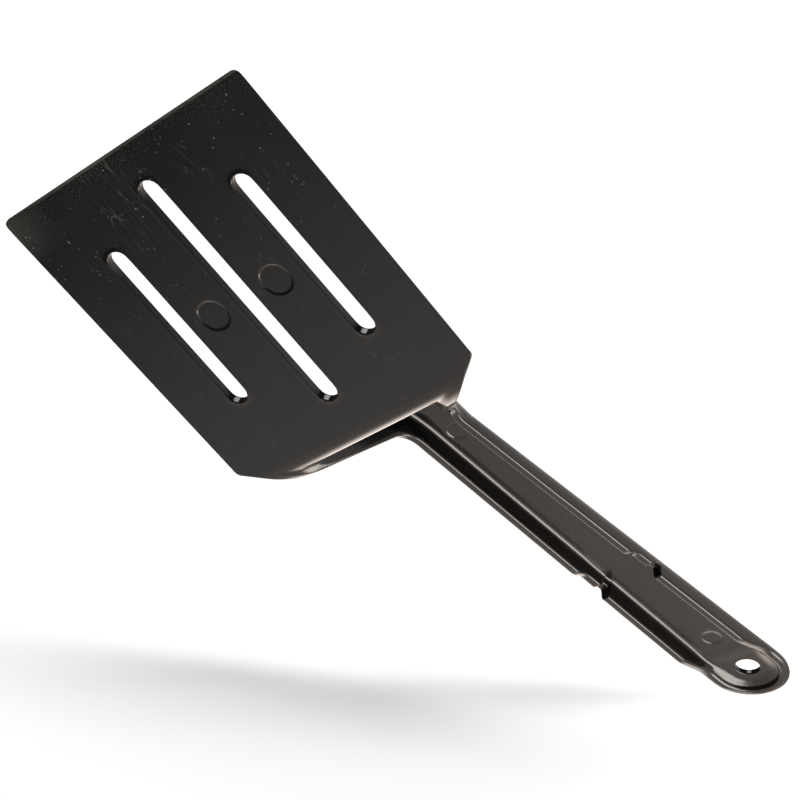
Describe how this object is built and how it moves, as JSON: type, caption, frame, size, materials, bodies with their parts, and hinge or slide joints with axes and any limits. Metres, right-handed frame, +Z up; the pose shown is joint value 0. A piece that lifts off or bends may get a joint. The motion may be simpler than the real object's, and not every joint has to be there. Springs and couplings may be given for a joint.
{
  "type": "grill spatula",
  "caption": "One-piece slotted turner for a grill: flat bevelled blade, flared ribbed neck and a channel-section handle that ends in a hanging hole.",
  "frame": {"origin": "centre of the bounding box in X and Y, on the plane of the blade's underside", "axes": "+X across the blade to its right, +Y from the front edge towards the hanging hole, +Z up from the blade's underside"},
  "size_m": [0.1, 0.2928, 0.0749],
  "materials": {
    "black_nylon": "glossy moulded black nylon with light scratches and dust"
  },
  "bodies": {
    "root": {"blade": "black_nylon", "neck_riser": "black_nylon", "neck_rib_left": "black_nylon", "neck_rib_right": "black_nylon", "handle_web": "black_nylon", "handle_wall_left": "black_nylon", "handle_wall_right": "black_nylon", "hanging_end": "black_nylon"}
  },
  "joints": []
}
